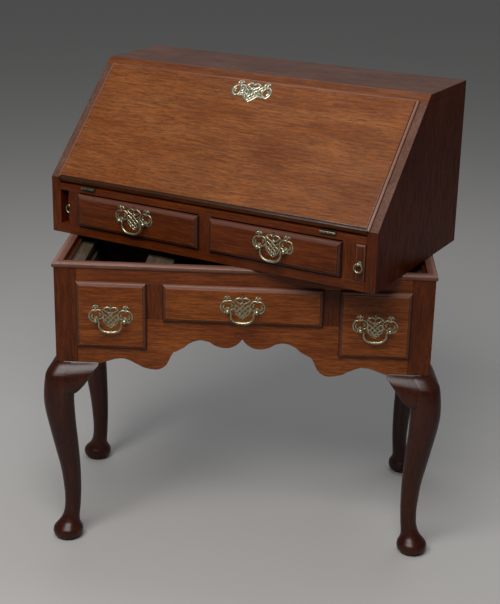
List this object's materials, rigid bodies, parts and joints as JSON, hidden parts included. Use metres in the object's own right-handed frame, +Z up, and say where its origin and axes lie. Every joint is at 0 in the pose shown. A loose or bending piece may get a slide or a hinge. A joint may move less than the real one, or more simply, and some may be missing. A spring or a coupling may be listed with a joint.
{
  "type": "secretary desk",
  "caption": "Slant-front oak bureau with fall, lopers and drawers, resting turned on a cabriole-leg stand with drawers.",
  "frame": {"origin": "on the floor, under the middle of the whole outline at rest", "axes": "+Z up, the stand's front looks towards -Y, +X to the right of someone facing the front"},
  "size_m": [0.8518, 0.6962, 0.9613],
  "materials": {
    "oak_light": "satin",
    "oak_dark": "satin",
    "oak_leg": "polished",
    "oak_inside": "matte",
    "brass": "aged"
  },
  "bodies": {
    "stand": {"divider_left": "oak_dark", "divider_right": "oak_dark", "knee_wings_back": "oak_leg", "knee_wings_front": "oak_leg", "leg_back_left": "oak_leg", "leg_back_right": "oak_leg", "leg_front_left": "oak_leg", "leg_front_right": "oak_leg", "side_panel_left": "oak_dark", "side_panel_right": "oak_dark", "apron_front": "oak_light", "back_panel": "oak_inside", "drawer_runners": "oak_inside", "rim_moulding": "oak_dark", "top_rail_front": "oak_dark"},
    "bureau": {"bureau_side_left": "oak_dark", "bureau_side_right": "oak_dark", "bureau_top": "oak_dark", "bureau_bottom": "oak_inside", "bureau_back": "oak_inside", "bureau_front_rail": "oak_light", "bureau_uprights": "oak_dark", "writing_bed": "oak_light", "pigeonholes": "oak_inside", "fall_hinge_fixed": "brass"},
    "fall": {"fall": "oak_light", "escutcheon": "brass", "fall_lock": "brass", "fall_hinge_moving": "brass"},
    "loper_left": {"loper_left": "oak_light", "loper_pull_left": "brass"},
    "loper_ring_left": {"loper_ring_left": "brass"},
    "loper_right": {"loper_right": "oak_light", "loper_pull_right": "brass"},
    "loper_ring_right": {"loper_ring_right": "brass"},
    "drawer_left": {"drawer_left_front": "oak_light", "drawer_left_box": "oak_inside", "drawer_left_plate": "brass", "drawer_left_posts": "brass"},
    "drawer_left_bail": {"drawer_left_bail": "brass"},
    "drawer_right": {"drawer_right_front": "oak_light", "drawer_right_box": "oak_inside", "drawer_right_plate": "brass", "drawer_right_posts": "brass"},
    "drawer_right_bail": {"drawer_right_bail": "brass"},
    "drawer_middle": {"drawer_middle_front": "oak_light", "drawer_middle_box": "oak_inside", "drawer_middle_plate": "brass", "drawer_middle_posts": "brass"},
    "drawer_middle_bail": {"drawer_middle_bail": "brass"},
    "bureau_drawer_left": {"bureau_drawer_left_front": "oak_light", "bureau_drawer_left_box": "oak_inside", "bureau_drawer_left_plate": "brass", "bureau_drawer_left_posts": "brass"},
    "bureau_drawer_left_bail": {"bureau_drawer_left_bail": "brass"},
    "bureau_drawer_right": {"bureau_drawer_right_front": "oak_light", "bureau_drawer_right_box": "oak_inside", "bureau_drawer_right_plate": "brass", "bureau_drawer_right_posts": "brass"},
    "bureau_drawer_right_bail": {"bureau_drawer_right_bail": "brass"}
  },
  "joints": [
    {"name": "bureau_turn", "type": "hinge", "parent": "stand", "child": "bureau", "pos_m": [0.05333, -0.02809, 0.6203], "axis": [0, 0, 1], "range_deg": [0, 26.4]},
    {"name": "fall_hinge", "type": "hinge", "parent": "bureau", "child": "fall", "pos_m": [-0.09159, -0.18451, 0.7255], "axis": [0.8957, -0.4446, 0], "range_deg": [0, 134.48]},
    {"name": "loper_slide_left", "type": "slide", "parent": "bureau", "child": "loper_left", "axis": [-0.4446, -0.8957, 0], "range_m": [0, 0.25]},
    {"name": "loper_ring_left_swing", "type": "hinge", "parent": "loper_left", "child": "loper_ring_left", "pos_m": [-0.3897, -0.01588, 0.6763], "axis": [-0.8957, 0.4446, 0], "range_deg": [0, 80]},
    {"name": "loper_slide_right", "type": "slide", "parent": "bureau", "child": "loper_right", "axis": [-0.4446, -0.8957, 0], "range_m": [-0.02, 0.24]},
    {"name": "loper_ring_right_swing", "type": "hinge", "parent": "loper_right", "child": "loper_ring_right", "pos_m": [0.21185, -0.3424, 0.6763], "axis": [-0.8957, 0.4446, 0], "range_deg": [0, 80]},
    {"name": "drawer_left_slide", "type": "slide", "parent": "stand", "child": "drawer_left", "axis": [0, -1, 0], "range_m": [0, 0.27]},
    {"name": "drawer_left_bail_swing", "type": "hinge", "parent": "drawer_left", "child": "drawer_left_bail", "pos_m": [-0.26993, -0.24594, 0.507], "axis": [-1, 0, 0], "range_deg": [0, 85]},
    {"name": "drawer_right_slide", "type": "slide", "parent": "stand", "child": "drawer_right", "axis": [0, -1, 0], "range_m": [0, 0.27]},
    {"name": "drawer_right_bail_swing", "type": "hinge", "parent": "drawer_right", "child": "drawer_right_bail", "pos_m": [0.25607, -0.24594, 0.507], "axis": [-1, 0, 0], "range_deg": [0, 85]},
    {"name": "drawer_middle_slide", "type": "slide", "parent": "stand", "child": "drawer_middle", "axis": [0, -1, 0], "range_m": [0, 0.27]},
    {"name": "drawer_middle_bail_swing", "type": "hinge", "parent": "drawer_middle", "child": "drawer_middle_bail", "pos_m": [-0.00693, -0.24594, 0.537], "axis": [-1, 0, 0], "range_deg": [0, 85]},
    {"name": "bureau_drawer_left_slide", "type": "slide", "parent": "bureau", "child": "bureau_drawer_left", "axis": [-0.4446, -0.8957, 0], "range_m": [0, 0.27]},
    {"name": "bureau_drawer_left_bail_swing", "type": "hinge", "parent": "bureau_drawer_left", "child": "bureau_drawer_left_bail", "pos_m": [-0.24283, -0.12708, 0.6768], "axis": [-0.8957, 0.4446, 0], "range_deg": [0, 85]},
    {"name": "bureau_drawer_right_slide", "type": "slide", "parent": "bureau", "child": "bureau_drawer_right", "axis": [-0.4446, -0.8957, 0], "range_m": [0, 0.27]},
    {"name": "bureau_drawer_right_bail_swing", "type": "hinge", "parent": "bureau_drawer_right", "child": "bureau_drawer_right_bail", "pos_m": [0.04559, -0.27025, 0.6768], "axis": [-0.8957, 0.4446, 0], "range_deg": [0, 85]}
  ]
}
